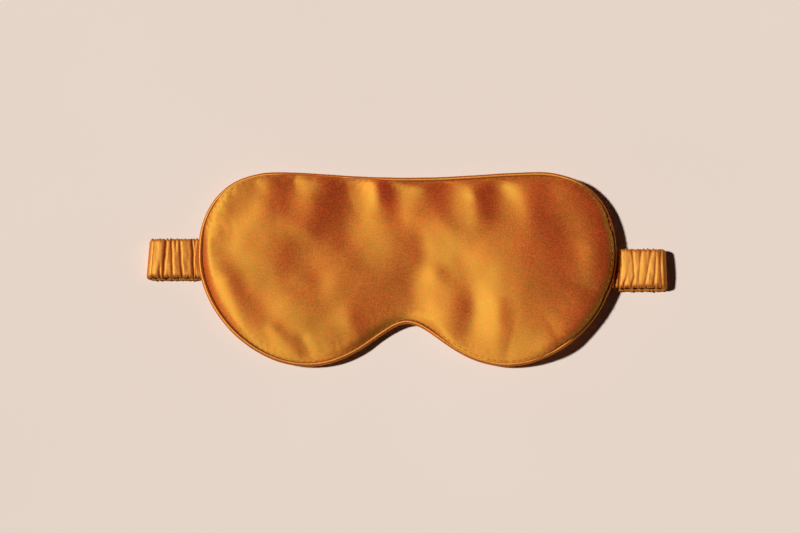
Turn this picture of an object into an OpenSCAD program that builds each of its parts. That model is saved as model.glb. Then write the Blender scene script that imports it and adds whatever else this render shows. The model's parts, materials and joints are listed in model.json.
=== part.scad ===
// Padded satin sleep eye mask with a gathered elastic strap.
// It lies face up on a table with its strap folded flat behind it: out from each side seam, round a
// fold, and back underneath. +X runs along the strap, +Y towards the brow, +Z out of the front.
// The origin is on the table, under the middle of the mask.

/* [Mask outline] */
// Width of the mask over its piping
mask_w = 210; // [195:1:225]
// Height of the mask over its piping
mask_h = 98; // [90:1:106]
// Dip in the middle of the brow edge
brow_dip = 2.8; // [1:0.2:5]
// Height of the nose notch above the lowest point of the lobes
notch_h = 21.2; // [16:0.2:26]

/* [Mask section] */
// Rise of the front panel above the seam
front_crown = 6.2; // [5:0.1:9]
// Drop of the back panel below the seam
back_crown = 2.7; // [2.4:0.1:2.8]
// Thickness of each satin panel
panel_t = 0.4; // [0.3:0.05:0.45]
// Radius of the piping round the edge
piping_r = 1.3; // [1:0.1:1.5]
// Radius of the cord inside the piping
cord_r = 0.85; // [0.5:0.05:0.85]

/* [Strap] */
// Width of the gathered strap casing
strap_w = 19; // [15:0.5:22]
// Thickness of one layer of the strap
strap_t = 2.6; // [2.4:0.1:2.6]
// Distance from a side seam to the fold of the strap
loop_out = 25.9; // [18:0.1:32]
// Middle of the strap in Y at its left seam
left_y = 5.6; // [0:0.2:6]
// Middle of the strap in Y at its right seam
right_y = 0.4; // [-2:0.2:4]
// Width of the elastic inside the casing
elastic_w = 16.6; // [12:0.2:16.8]
// Thickness of the elastic
elastic_t = 1.1; // [0.8:0.1:1.2]

/* [Stitching] */
// Distance between stitches round the edge
stitch_pitch = 3.3; // [2.8:0.1:5]
// Thickness of the thread
thread_d = 0.35; // [0.25:0.05:0.4]

/* [Hidden] */

half_w = mask_w / 2;
half_h = mask_h / 2;
// Gap left between layers that lie on each other
layer_gap = 0.1;

// Strap levels: the return layer lies on the table, and the outgoing layer lies on it
strap_gap = 0.4;
lower_z = strap_t / 2;
upper_z = lower_z + strap_t + strap_gap;

// The piping lies on the strap, and the seam is a little lower than its middle
piping_z = upper_z + strap_t / 2 + layer_gap + piping_r;
seam_z = piping_z - 0.4;
// The panels end just inside the piping
seam_inset = 2 * piping_r + 0.15;
// Half the gap between the rims of the two panels
rim_gap = 0.25;
// Width of the turned-in edges inside the seam
allowance_w = 6.5;
// The padding is cut this much smaller than the mask
padding_inset = seam_inset + allowance_w + 2.6;
// Point that the crowned surfaces shrink towards
crown_centre = [0, 0.16 * half_h];
// How far out each ring of a crowned surface lies, from the seam to the middle
crown_rings = [1, 0.97, 0.91, 0.81, 0.66, 0.4];

// The strap turns at the seam under the middle of the piping
seam_x = half_w - piping_r - 0.2;
fold_x = seam_x + loop_out;
// Each layer of a loop is two lengths, which part here when the elastic stretches
split_x = seam_x + 0.46 * loop_out;
split_gap = 0.1;
// The return layer lies this much lower in Y, so its edge shows
return_shift = -1;
// Clearance round the turning end of a strap length
turn_gap = 0.15;
casing_wall = 0.5;
casing_hem = 0.9;

satin = "goldenrod";
thread_colour = "darkgoldenrod";

// ---------- curves ----------

function bezier(p, t) =
    p[0] * pow(1 - t, 3) + 3 * p[1] * t * pow(1 - t, 2) + 3 * p[2] * t * t * (1 - t) + p[3] * pow(t, 3);

// Points along one curve, without its last point
function bezier_run(p, n) = [for (i = [0:n - 1]) bezier(p, i / n)];

// Right half of the outline, from the brow dip clockwise to the nose notch
brow = [0, half_h - brow_dip];
crest = [0.62 * half_w, half_h];
side = [half_w, 0.153 * half_h];
lobe = [0.476 * half_w, -half_h];
notch = [0, notch_h - half_h];
right_half = concat(
    bezier_run([brow, brow + [28, 0], crest - [18, 0], crest], 9),
    bezier_run([crest, crest + [25, 0], side + [0, 26], side], 10),
    bezier_run([side, side - [0, 29], lobe + [28, 0], lobe], 13),
    bezier_run([lobe, lobe - [26, 0], notch + [12, 0], notch], 9),
    [notch]
);
half_n = len(right_half);
outline = concat(right_half, [for (i = [half_n - 2:-1:1]) [-right_half[i][0], right_half[i][1]]]);
rim_n = len(outline);

function unit(v) = v / norm(v);

// Inward normal of the outline at point i
function inward(i) =
    let (d = unit(outline[(i + 1) % rim_n] - outline[(i + rim_n - 1) % rim_n])) [d[1], -d[0]];

// The outline moved inwards by a distance
function inset_path(d) = [for (i = [0:rim_n - 1]) outline[i] + d * inward(i)];

function scaled_path(path, f) = [for (p = path) crown_centre + f * (p - crown_centre)];

function at_height(path, z) = [for (p = path) [p[0], p[1], z]];

// Height of a crown, from 0 at the seam to 1 in the middle
function crown(f) = sqrt(1 - pow(f, 4));

// Outer faces of the two panels
function front_z(f) = seam_z + rim_gap + panel_t + front_crown * crown(f);
function back_z(f) = seam_z - rim_gap - panel_t - back_crown * crown(f);

// ---------- solids ----------

// A solid between two crowned faces: lists of rings from the rim inwards, each closed by a middle point
module crowned_solid(top_rings, top_mid, low_rings, low_mid) {
    n = len(top_rings[0]);
    k = len(top_rings);
    points = concat([for (r = top_rings) each r], [for (r = low_rings) each r], [top_mid, low_mid]);
    low = n * k;
    function band(a, b) = [for (i = [0:n - 1]) let (j = (i + 1) % n) each [
        [a + i, b + i, b + j], [a + i, b + j, a + j]
    ]];
    faces = concat(
        [for (r = [0:k - 2]) each band(r * n, (r + 1) * n)],
        [for (i = [0:n - 1]) [(k - 1) * n + i, 2 * low, (k - 1) * n + (i + 1) % n]],
        [for (r = [0:k - 2]) each band(low + (r + 1) * n, low + r * n)],
        [for (i = [0:n - 1]) [low + (k - 1) * n + (i + 1) % n, 2 * low + 1, low + (k - 1) * n + i]],
        band(low, 0)
    );
    polyhedron(points, [for (f = faces) [f[2], f[1], f[0]]]);
}

// A sheet of cloth that follows height function values: one z for each ring, and one for the middle
module crowned_sheet(path, fractions, top_z, low_z, top_mid, low_mid) {
    crowned_solid(
        [for (i = [0:len(fractions) - 1]) at_height(scaled_path(path, fractions[i]), top_z[i])],
        [crown_centre[0], crown_centre[1], top_mid],
        [for (i = [0:len(fractions) - 1]) at_height(scaled_path(path, fractions[i]), low_z[i])],
        [crown_centre[0], crown_centre[1], low_mid]
    );
}

// Ring-shaped tube along a closed path in the plane z = height
module edge_tube(inset, height, radius, sides) {
    path = inset_path(inset);
    points = [for (i = [0:rim_n - 1]) for (s = [0:sides - 1])
        let (a = 360 * (s + 0.5) / sides, n = inward(i))
        [path[i][0] + radius * cos(a) * n[0], path[i][1] + radius * cos(a) * n[1], height + radius * sin(a)]
    ];
    faces = [for (i = [0:rim_n - 1]) for (s = [0:sides - 1])
        let (a = i * sides, b = (i + 1) % rim_n * sides, t = (s + 1) % sides) each [
            [a + s, a + t, b + t], [a + s, b + t, b + s]
        ]
    ];
    polyhedron(points, faces);
}

// ---------- the padded mask ----------

module front_panel() {
    color(satin) crowned_sheet(
        inset_path(seam_inset), crown_rings,
        [for (f = crown_rings) front_z(f)], [for (f = crown_rings) front_z(f) - panel_t],
        front_z(0), front_z(0) - panel_t
    );
}

module back_panel() {
    color(satin) crowned_sheet(
        inset_path(seam_inset), crown_rings,
        [for (f = crown_rings) back_z(f) + panel_t], [for (f = crown_rings) back_z(f)],
        back_z(0) + panel_t, back_z(0)
    );
}

// Opaque cloth just under the front panel, and a little smaller
module blackout_liner() {
    liner_t = 0.3;
    rings = [for (i = [1:len(crown_rings) - 1]) crown_rings[i]];
    top = panel_t + layer_gap;
    color("dimgray") crowned_sheet(
        inset_path(seam_inset), rings,
        [for (f = rings) front_z(f) - top], [for (f = rings) front_z(f) - top - liner_t],
        front_z(0) - top, front_z(0) - top - liner_t
    );
}

// Wadding between the liner and the back panel
module padding() {
    rim_t = 0.6;
    rise = front_crown - 1.6;
    drop = back_crown - 0.5;
    color("ivory") crowned_sheet(
        inset_path(padding_inset), crown_rings,
        [for (f = crown_rings) seam_z + rim_t + rise * crown(f)],
        [for (f = crown_rings) seam_z - rim_t - drop * crown(f)],
        seam_z + rim_t + rise, seam_z - rim_t - drop
    );
}

module piping_cover() {
    color(satin) difference() {
        edge_tube(piping_r, piping_z, piping_r, 8);
        edge_tube(piping_r, piping_z, cord_r + layer_gap, 8);
    }
}

module piping_cord() {
    color("linen") edge_tube(piping_r, piping_z, cord_r, 6);
}

// The turned-in edges of the panels and of the piping's strip, sewn into one flat ring
module seam_allowance() {
    edge_t = 0.4;
    color("peru") translate([0, 0, seam_z - edge_t / 2]) linear_extrude(edge_t) difference() {
        polygon(inset_path(seam_inset));
        polygon(inset_path(seam_inset + allowance_w));
    }
}

// One stitch, lying along its own X
module stitch(length) {
    cube([length, thread_d, thread_d], center = true);
}

// Stitches on the front panel beside the piping
module edge_stitching() {
    // Half way between the first two rings, and clear of the slope there
    line_f = (crown_rings[0] + crown_rings[1]) / 2;
    line_z = (front_z(crown_rings[0]) + front_z(crown_rings[1])) / 2 + 0.55;
    stitch_l = 2;
    path = scaled_path(inset_path(seam_inset), line_f);
    color(thread_colour) for (i = [0:rim_n - 1]) {
        a = path[i];
        b = path[(i + 1) % rim_n];
        count = round(norm(b - a) / stitch_pitch);
        for (k = [0:count - 1]) {
            p = a + (b - a) * (k + 0.5) / count;
            translate([p[0], p[1], line_z])
                rotate(atan2(b[1] - a[1], b[0] - a[0]))
                    stitch(stitch_l);
        }
    }
}

// The end of the strap, held flat between the turned-in edges and the back panel
module sewn_end(y) {
    end_t = 0.5;
    end_l = 3.6;
    end_x = half_w - seam_inset - 5;
    color("wheat") translate([end_x - end_l, y - elastic_w / 2, seam_z - 0.3 - end_t])
        cube([end_l, elastic_w, end_t]);
}

// Two rows of tack stitches across the end of the strap, on the back panel
module tack(y) {
    stitch_l = 1.5;
    pitch = 2.1;
    count = 8;
    rim_x = half_w - seam_inset;
    color(thread_colour) for (x = [rim_x - 2.6, rim_x - 1.5]) for (k = [0:count - 1])
        translate([x, y + (k - (count - 1) / 2) * pitch, back_z(x / rim_x) - 0.4])
            rotate(90) stitch(stitch_l);
}

// ---------- the strap ----------

// One length of casing from x = a to x = b, with a round turning end at a if it has one
module casing(a, b, y, z, turning) {
    cavity_a = turning ? a + 1.2 : a - 1;
    color(satin) translate([0, y, z]) difference() {
        union() {
            translate([a, -strap_w / 2, -strap_t / 2]) cube([b - a, strap_w, strap_t]);
            if (turning) translate([a, 0, 0]) rotate([90, 0, 0])
                cylinder(r = strap_t / 2, h = strap_w, center = true, $fn = 48);
        }
        translate([cavity_a, -strap_w / 2 + casing_hem, -strap_t / 2 + casing_wall])
            cube([b - cavity_a + 1, strap_w - 2 * casing_hem, strap_t - 2 * casing_wall]);
    }
}

// One length of elastic inside the casing
module elastic(a, b, y, z) {
    color("white") translate([a, y - elastic_w / 2, z - elastic_t / 2])
        cube([b - a, elastic_w, elastic_t]);
}

// The lengths of one loop, drawn for the right side
module root_casing(y) casing(seam_x, split_x - split_gap, y, upper_z, true);
module upper_casing(y) casing(split_x, fold_x, y, upper_z, false);
module lower_casing(y) casing(split_x, fold_x, y + return_shift, lower_z, false);
module return_casing(y) casing(seam_x, split_x - split_gap, y + return_shift, lower_z, true);

elastic_a = seam_x + 1.4;
module root_elastic(y) elastic(elastic_a, split_x - split_gap, y, upper_z);
module upper_elastic(y) elastic(split_x, fold_x - 0.2, y, upper_z);
module lower_elastic(y) elastic(split_x, fold_x - 0.2, y + return_shift, lower_z);
module return_elastic(y) elastic(elastic_a, split_x - split_gap, y + return_shift, lower_z);

// A flat band from one side to the other, between the two return levels
module back_band(half_l, w, t) {
    yl = left_y + return_shift;
    yr = right_y + return_shift;
    translate([0, 0, lower_z - t / 2]) linear_extrude(t)
        polygon([[-half_l, yl - w / 2], [half_l, yr - w / 2], [half_l, yr + w / 2], [-half_l, yl + w / 2]]);
}

back_l = seam_x - strap_t / 2 - turn_gap;

module casing_back() {
    color(satin) difference() {
        back_band(back_l, strap_w, strap_t);
        back_band(back_l + 1, strap_w - 2 * casing_hem, strap_t - 2 * casing_wall);
    }
}

module elastic_back() {
    color("white") back_band(back_l - 0.2, elastic_w, elastic_t);
}

front_panel();
blackout_liner();
padding();
back_panel();
piping_cover();
piping_cord();
seam_allowance();
edge_stitching();
mirror([1, 0, 0]) sewn_end(left_y);  // left_sewn_end
sewn_end(right_y);  // right_sewn_end
mirror([1, 0, 0]) tack(left_y);  // left_tack
tack(right_y);  // right_tack
casing_back();
mirror([1, 0, 0]) return_casing(left_y);  // casing_left_return
mirror([1, 0, 0]) lower_casing(left_y);  // casing_left_lower
mirror([1, 0, 0]) upper_casing(left_y);  // casing_left_upper
mirror([1, 0, 0]) root_casing(left_y);  // casing_left_root
return_casing(right_y);  // casing_right_return
lower_casing(right_y);  // casing_right_lower
upper_casing(right_y);  // casing_right_upper
root_casing(right_y);  // casing_right_root
elastic_back();
mirror([1, 0, 0]) return_elastic(left_y);  // elastic_left_return
mirror([1, 0, 0]) lower_elastic(left_y);  // elastic_left_lower
mirror([1, 0, 0]) upper_elastic(left_y);  // elastic_left_upper
mirror([1, 0, 0]) root_elastic(left_y);  // elastic_left_root
return_elastic(right_y);  // elastic_right_return
lower_elastic(right_y);  // elastic_right_lower
upper_elastic(right_y);  // elastic_right_upper
root_elastic(right_y);  // elastic_right_root
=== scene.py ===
import json
import math
import random

import bmesh
import bpy
import numpy as np
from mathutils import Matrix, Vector, noise
from mathutils.bvhtree import BVHTree
from mathutils.geometry import delaunay_2d_cdt


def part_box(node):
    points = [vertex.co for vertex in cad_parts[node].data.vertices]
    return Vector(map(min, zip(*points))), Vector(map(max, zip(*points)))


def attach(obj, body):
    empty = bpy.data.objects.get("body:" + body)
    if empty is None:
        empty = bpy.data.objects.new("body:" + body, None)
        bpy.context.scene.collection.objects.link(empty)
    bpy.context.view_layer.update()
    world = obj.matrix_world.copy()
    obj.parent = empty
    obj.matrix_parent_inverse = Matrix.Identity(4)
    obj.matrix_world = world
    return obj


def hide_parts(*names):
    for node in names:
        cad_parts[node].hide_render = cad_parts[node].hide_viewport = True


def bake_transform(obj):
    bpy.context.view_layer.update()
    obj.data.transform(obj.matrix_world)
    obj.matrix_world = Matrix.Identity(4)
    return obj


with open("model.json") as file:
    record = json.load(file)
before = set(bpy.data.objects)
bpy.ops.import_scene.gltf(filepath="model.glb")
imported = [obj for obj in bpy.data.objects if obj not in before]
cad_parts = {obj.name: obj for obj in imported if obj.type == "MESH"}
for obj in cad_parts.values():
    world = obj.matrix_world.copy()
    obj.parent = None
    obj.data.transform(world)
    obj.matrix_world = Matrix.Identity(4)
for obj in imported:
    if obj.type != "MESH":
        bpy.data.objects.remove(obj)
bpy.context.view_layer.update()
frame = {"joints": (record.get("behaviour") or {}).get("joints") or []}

# Shapes are worked out in millimetres in the frame of the CAD model, and a mesh is made in metres.
MM = 0.001
SEED = 7
WORD = {-1: "left", 1: "right"}

JOINTS = {joint["name"]: joint for joint in frame["joints"]}


def box_mm(node):
    low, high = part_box(node)
    return np.array(low) / MM, np.array(high) / MM


def joint_mm(name):
    return np.array(JOINTS[name]["pos_m"]) / MM


# ---------- sizes that come from the frame ----------

PIPING_LOW, PIPING_HIGH = box_mm("piping_cover")
HALF_W = (PIPING_HIGH[0] - PIPING_LOW[0]) / 2
HALF_H = (PIPING_HIGH[1] - PIPING_LOW[1]) / 2
PIPING_Z = (PIPING_LOW[2] + PIPING_HIGH[2]) / 2
CASING_LOW, CASING_HIGH = box_mm("casing_right_upper")
STRAP_HALF_W = (CASING_HIGH[1] - CASING_LOW[1]) / 2
STRAP_HALF_T = (CASING_HIGH[2] - CASING_LOW[2]) / 2
ELASTIC_LOW, ELASTIC_HIGH = box_mm("elastic_right_upper")
ELASTIC_HALF_W = (ELASTIC_HIGH[1] - ELASTIC_LOW[1]) / 2
ELASTIC_HALF_T = (ELASTIC_HIGH[2] - ELASTIC_LOW[2]) / 2
# The strap turns about these lines: at the seams, at the folds, and where it comes back under the seams
SEAM_X, SEAM_TURN_Z = abs(joint_mm("left_seam_turn")[0]), joint_mm("left_seam_turn")[2]
FOLD_X, FOLD_Z = abs(joint_mm("strap_open")[0]), joint_mm("strap_open")[2]
RETURN_Z = joint_mm("left_return_turn")[2]
UPPER_Y = {-1: joint_mm("strap_open")[1], 1: joint_mm("right_fold")[1]}
LOWER_Y = {-1: joint_mm("left_return_turn")[1], 1: joint_mm("right_return_turn")[1]}

# ---------- mask outline ----------

SEAM_INSET = 1.8
# Puckers run towards this point, and the inner layers are shrunk about it
MIDDLE = np.array([0, 8])


def bezier(p):
    t = np.linspace(0, 1, 200, endpoint=False)[:, None]
    a, b, c, d = (np.array(q, float) for q in p)
    return a * (1 - t) ** 3 + 3 * b * t * (1 - t) ** 2 + 3 * c * t**2 * (1 - t) + d * t**3


def even_loop(points, count):
    """Points evenly spaced along a closed line."""
    closed = np.vstack([points, points[:1]])
    along = np.concatenate([[0], np.cumsum(np.linalg.norm(np.diff(closed, axis=0), axis=1))])
    at = np.linspace(0, along[-1], count, endpoint=False)
    return np.column_stack([np.interp(at, along, closed[:, k]) for k in (0, 1)])


def outline():
    """The outer edge of the piping: brow dip, crest, side, lobe and nose notch, mirrored."""
    w, h = HALF_W, HALF_H
    brow, crest, side = np.array([0, 0.943 * h]), np.array([0.62 * w, h]), np.array([w, 0.153 * h])
    lobe, notch = np.array([0.476 * w, -h]), np.array([0, -0.567 * h])
    x, y = np.array([1, 0]), np.array([0, 1])
    right = np.vstack([
        bezier([brow, brow + 28 * x, crest - 18 * x, crest]),
        bezier([crest, crest + 25 * x, side + 26 * y, side]),
        bezier([side, side - 29 * y, lobe + 28 * x, lobe]),
        bezier([lobe, lobe - 26 * x, notch + 12 * x, notch]),
        [notch],
    ])
    left = right[-2:0:-1] * [-1, 1]
    return np.vstack([right, left])


def inwards(loop):
    """The direction into the loop at each of its points; loops run clockwise."""
    along = np.roll(loop, -1, axis=0) - np.roll(loop, 1, axis=0)
    along /= np.linalg.norm(along, axis=1)[:, None]
    return np.column_stack([along[:, 1], -along[:, 0]])


def loop_inset(loop, distance):
    return loop + distance * inwards(loop)


def to_line(points, start, step):
    """How far along a line each point is, from 0 to 1, and its distance from it."""
    rel = points - start
    t = np.clip(rel @ step / (step @ step), 0, 1)
    return t, np.hypot(*(rel - t[:, None] * step).T)


def loop_length(loop):
    return np.linalg.norm(np.roll(loop, -1, axis=0) - loop, axis=1).sum()


def edge_distance(points, loop):
    """Distance of each point to the loop, positive inside."""
    best = np.full(len(points), 1e9)
    inside = np.zeros(len(points), bool)
    for a, d in zip(loop, np.roll(loop, -1, axis=0) - loop):
        best = np.minimum(best, to_line(points, a, d)[1])
        if d[1] != 0:
            crosses = (points[:, 1] >= min(a[1], a[1] + d[1])) & (points[:, 1] < max(a[1], a[1] + d[1]))
            at = a[0] + (points[:, 1] - a[1]) / d[1] * d[0]
            inside ^= crosses & (points[:, 0] < at)
    return np.where(inside, best, -best)


OUTLINE = even_loop(outline(), 720)
SEAM = even_loop(loop_inset(OUTLINE, SEAM_INSET), 480)

# ---------- small helpers ----------


def smooth(t):
    t = np.clip(t, 0, 1)
    return t * t * (3 - 2 * t)


def rough(points, scale, seed):
    """Smooth noise from -1 to 1 at each point; scale is the size of its features in mm."""
    shift = 37.3 * seed
    return np.array([noise.noise(Vector((x / scale + shift, y / scale - shift, 0))) for x, y in points])


def turns(count):
    return np.linspace(0, 2 * math.pi, count, endpoint=False)


def add_piece(name, points, faces, material):
    """A smooth-shaded mesh object from points in mm."""
    mesh = bpy.data.meshes.new(name)
    mesh.from_pydata([tuple(p) for p in np.asarray(points) * MM], [], [tuple(f) for f in faces])
    mesh.validate()
    mesh.shade_smooth()
    mesh.materials.append(material)
    piece = bpy.data.objects.new(name, mesh)
    bpy.context.scene.collection.objects.link(piece)
    return piece


def read_points(mesh):
    """A mesh's points, in metres."""
    points = np.zeros(len(mesh.vertices) * 3)
    mesh.vertices.foreach_get("co", points)
    return points.reshape(-1, 3)


def write_points(mesh, points):
    mesh.vertices.foreach_set("co", points.ravel())
    mesh.update()


def on_mask(piece, node):
    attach(piece, "mask")
    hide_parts(node)


def paint_shade(piece, values):
    """Stores painted shade on a piece, from 0 to 1 at each point: the satin's colour is darkened in creases,
    in the seam and along the strap's edges.
    """
    field = piece.data.attributes.new("painted_shade", "FLOAT", "POINT")
    field.data.foreach_set("value", np.clip(values, 0, 1).astype(np.float32).ravel())


def grid_faces(rings, around, start=0, closed_rings=False, flip=False):
    """Quads between rings of points, each ring closed."""
    faces = []
    for i in range(rings if closed_rings else rings - 1):
        a, b = start + i * around, start + (i + 1) % rings * around
        for k in range(around):
            quad = (a + k, a + (k + 1) % around, b + (k + 1) % around, b + k)
            faces.append(quad[::-1] if flip else quad)
    return faces


def end_caps(rings, around):
    """The two faces that close the ends of a run of rings."""
    return [tuple(range(around))[::-1], tuple(range((rings - 1) * around, rings * around))]


# ---------- materials ----------


def principled(name):
    material = bpy.data.materials.new(name)
    material.use_nodes = True
    tree = material.node_tree
    return material, tree, tree.nodes["Principled BSDF"]


def set_inputs(node, values):
    for name, value in values.items():
        node.inputs[name].default_value = value


def coordinates(tree, scale):
    place = tree.nodes.new("ShaderNodeTexCoord")
    mapping = tree.nodes.new("ShaderNodeMapping")
    set_inputs(mapping, {"Scale": scale})
    tree.links.new(place.outputs["Object"], mapping.inputs["Vector"])
    return mapping.outputs["Vector"]


def noise_node(tree, scale, detail=2.0, roughness=0.5, stretch=(1, 1, 1)):
    vector = coordinates(tree, stretch)
    node = tree.nodes.new("ShaderNodeTexNoise")
    set_inputs(node, {"Scale": scale, "Detail": detail, "Roughness": roughness})
    tree.links.new(vector, node.inputs["Vector"])
    return node.outputs["Fac"]


def math_node(tree, operation, a, b):
    node = tree.nodes.new("ShaderNodeMath")
    node.operation = operation
    for socket, value in zip(node.inputs, (a, b)):
        if isinstance(value, (int, float)):
            socket.default_value = value
        else:
            tree.links.new(value, socket)
    return node.outputs[0]


def colour_ramp(tree, factor, stops):
    node = tree.nodes.new("ShaderNodeValToRGB")
    found = node.color_ramp.elements
    for element, (position, colour) in ((found[0], stops[0]), (found[1], stops[-1])):
        element.position, element.color = position, (*colour, 1)
    for position, colour in stops[1:-1]:
        found.new(position).color = (*colour, 1)
    tree.links.new(factor, node.inputs["Fac"])
    return node.outputs["Color"]


def bump_node(tree, height, distance, strength=1.0, normal=None):
    node = tree.nodes.new("ShaderNodeBump")
    set_inputs(node, {"Strength": strength, "Distance": distance})
    tree.links.new(height, node.inputs["Height"])
    if normal is not None:
        tree.links.new(normal, node.inputs["Normal"])
    return node.outputs["Normal"]


SATIN_DARK = (0.320, 0.0135, 0.0075)
SATIN_MID = (0.465, 0.0205, 0.0115)
SATIN_LIGHT = (0.670, 0.036, 0.0180)
SATIN_GLOSS = (1.0, 0.755, 0.094, 1.0)
EDGE_GLOSS = (0.97, 0.62, 0.10, 1.0)
# The floats of the satin lie at this angle to the mask's width, in degrees
GRAIN = 18.0
# Noise features in a metre
THREAD_SCALE, MOTTLE_SCALE, CLOUD_SCALE = 2600, 1400, 60
# The share of its colour that the satin loses under painted shade, in creases, in the seam and along the
# strap's edges
PAINTED_SHADE_SHARE = 0.65
# Depths of the bump, in metres
MOTTLE_DEPTH, THREAD_DEPTH = 0.00008, 0.00002


def satin(name, floats, shade, roughness, spread, gloss=SATIN_GLOSS):
    """Satin: a rust-coloured body under a golden gloss, with fine floats along one direction and a mottle.

    spread above 0 widens the gloss along the U direction of the UV map, as floats across it do. Painted shade
    darkens its colour, and the cloth is duller, where the piece's shade attribute is above 0."""
    material, tree, shader = principled(name)
    threads = noise_node(tree, THREAD_SCALE, 2.0, 0.6, floats)
    mottle = noise_node(tree, MOTTLE_SCALE, 3.0, 0.75)
    cloud = noise_node(tree, CLOUD_SCALE, 2.0, 0.5)
    mixed = math_node(tree, "MULTIPLY", mottle, 0.60)
    for part, weight in ((threads, 0.25), (cloud, 0.15)):
        mixed = math_node(tree, "ADD", mixed, math_node(tree, "MULTIPLY", part, weight))
    stops = [(0.45, SATIN_DARK), (0.50, SATIN_MID), (0.55, SATIN_LIGHT)]
    stops = [(at, tuple(shade * c for c in colour)) for at, colour in stops]
    # Painted shade: the shade attribute darkens the base colour and dulls the gloss
    painted_shade = tree.nodes.new("ShaderNodeAttribute")
    painted_shade.attribute_name = "painted_shade"
    lost = math_node(tree, "MULTIPLY", painted_shade.outputs["Fac"], PAINTED_SHADE_SHARE)
    kept = math_node(tree, "SUBTRACT", 1.0, lost)
    shaded = tree.nodes.new("ShaderNodeVectorMath")
    shaded.operation = "SCALE"
    tree.links.new(colour_ramp(tree, mixed, stops), shaded.inputs[0])
    tree.links.new(kept, shaded.inputs["Scale"])
    tree.links.new(shaded.outputs["Vector"], shader.inputs["Base Color"])
    rough_value = math_node(tree, "ADD", math_node(tree, "MULTIPLY", mottle, 0.30), roughness - 0.15)
    duller = math_node(tree, "MULTIPLY", painted_shade.outputs["Fac"], 0.30)
    rough_value = math_node(tree, "ADD", rough_value, duller)
    tree.links.new(rough_value, shader.inputs["Roughness"])
    normal = bump_node(tree, mottle, MOTTLE_DEPTH, 1.0)
    tree.links.new(bump_node(tree, threads, THREAD_DEPTH, 0.6, normal), shader.inputs["Normal"])
    set_inputs(shader, {"IOR": 2.6, "Specular IOR Level": 1.0, "Specular Tint": gloss})
    if spread:
        set_inputs(shader, {"Anisotropic": spread})
        tangent = tree.nodes.new("ShaderNodeTangent")
        tangent.direction_type = "UV_MAP"
        tree.links.new(tangent.outputs["Tangent"], shader.inputs["Tangent"])
    return material


def plain_cloth(name, dark, light, scale, distance, roughness=0.85):
    """A matte cloth or thread with a fine weave."""
    material, tree, shader = principled(name)
    weave = noise_node(tree, scale, 3.0, 0.6)
    tree.links.new(colour_ramp(tree, weave, [(0.35, dark), (0.65, light)]), shader.inputs["Base Color"])
    tree.links.new(bump_node(tree, weave, distance), shader.inputs["Normal"])
    set_inputs(shader, {"Roughness": roughness, "Sheen Weight": 0.15, "Sheen Tint": (*light, 1)})
    return material


def ribbed_elastic():
    """Braided elastic: white, with ribs along the strap and a fine knit across them."""
    material, tree, shader = principled("braided elastic")
    wave = tree.nodes.new("ShaderNodeTexWave")
    wave.wave_type, wave.bands_direction = "BANDS", "Y"
    set_inputs(wave, {"Scale": 190, "Distortion": 0.6})
    tree.links.new(coordinates(tree, (1, 1, 1)), wave.inputs["Vector"])
    knit = noise_node(tree, 1800, stretch=(1, 0.3, 1))
    colour = colour_ramp(tree, knit, [(0.35, (0.62, 0.61, 0.58)), (0.65, (0.84, 0.83, 0.80))])
    tree.links.new(colour, shader.inputs["Base Color"])
    normal = bump_node(tree, wave.outputs["Fac"], 0.00012)
    tree.links.new(bump_node(tree, knit, 0.00003, 1.0, normal), shader.inputs["Normal"])
    set_inputs(shader, {"Roughness": 0.75})
    return material


FRONT_SATIN = satin("front satin", (0.12, 1, 1), 1.0, 0.715, 0.63)
BACK_SATIN = satin("back satin", (0.12, 1, 1), 0.97, 0.715, 0.63)
PIPING_SATIN = satin("piping satin", (1, 1, 1), 0.82, 0.60, 0.6, EDGE_GLOSS)
STRAP_SATIN = satin("strap satin", (1, 0.12, 1), 0.92, 0.62, 0.0, EDGE_GLOSS)
TURNED_SATIN = plain_cloth("wrong side of satin", (0.20, 0.05, 0.01), (0.32, 0.09, 0.02), 1500, 0.00004)
THREAD = plain_cloth("thread", (0.30, 0.075, 0.01), (0.50, 0.16, 0.02), 3000, 0.00003, 0.6)
BLACKOUT = plain_cloth("blackout cloth", (0.012, 0.012, 0.014), (0.03, 0.03, 0.034), 1400, 0.00004)
WADDING = plain_cloth("wadding", (0.66, 0.63, 0.57), (0.86, 0.84, 0.79), 350, 0.0004, 0.95)
CORD = plain_cloth("cotton cord", (0.55, 0.50, 0.42), (0.80, 0.76, 0.68), 1600, 0.00006)
ELASTIC = ribbed_elastic()

# ---------- panels ----------

FRONT_RIM_Z = PIPING_Z - 0.3
FRONT_PUFF = 0.8
FRONT_RISE = 3.8
FRONT_REACH = 36.0
FRONT_ROUND = 3.5
SEAM_GROOVE = 0.75
BACK_RIM_Z = PIPING_Z - 0.5
BACK_DROP = 5.3
CHANNEL_DROP = 3.0
PANEL_T, LINER_T = 0.35, 0.25

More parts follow.
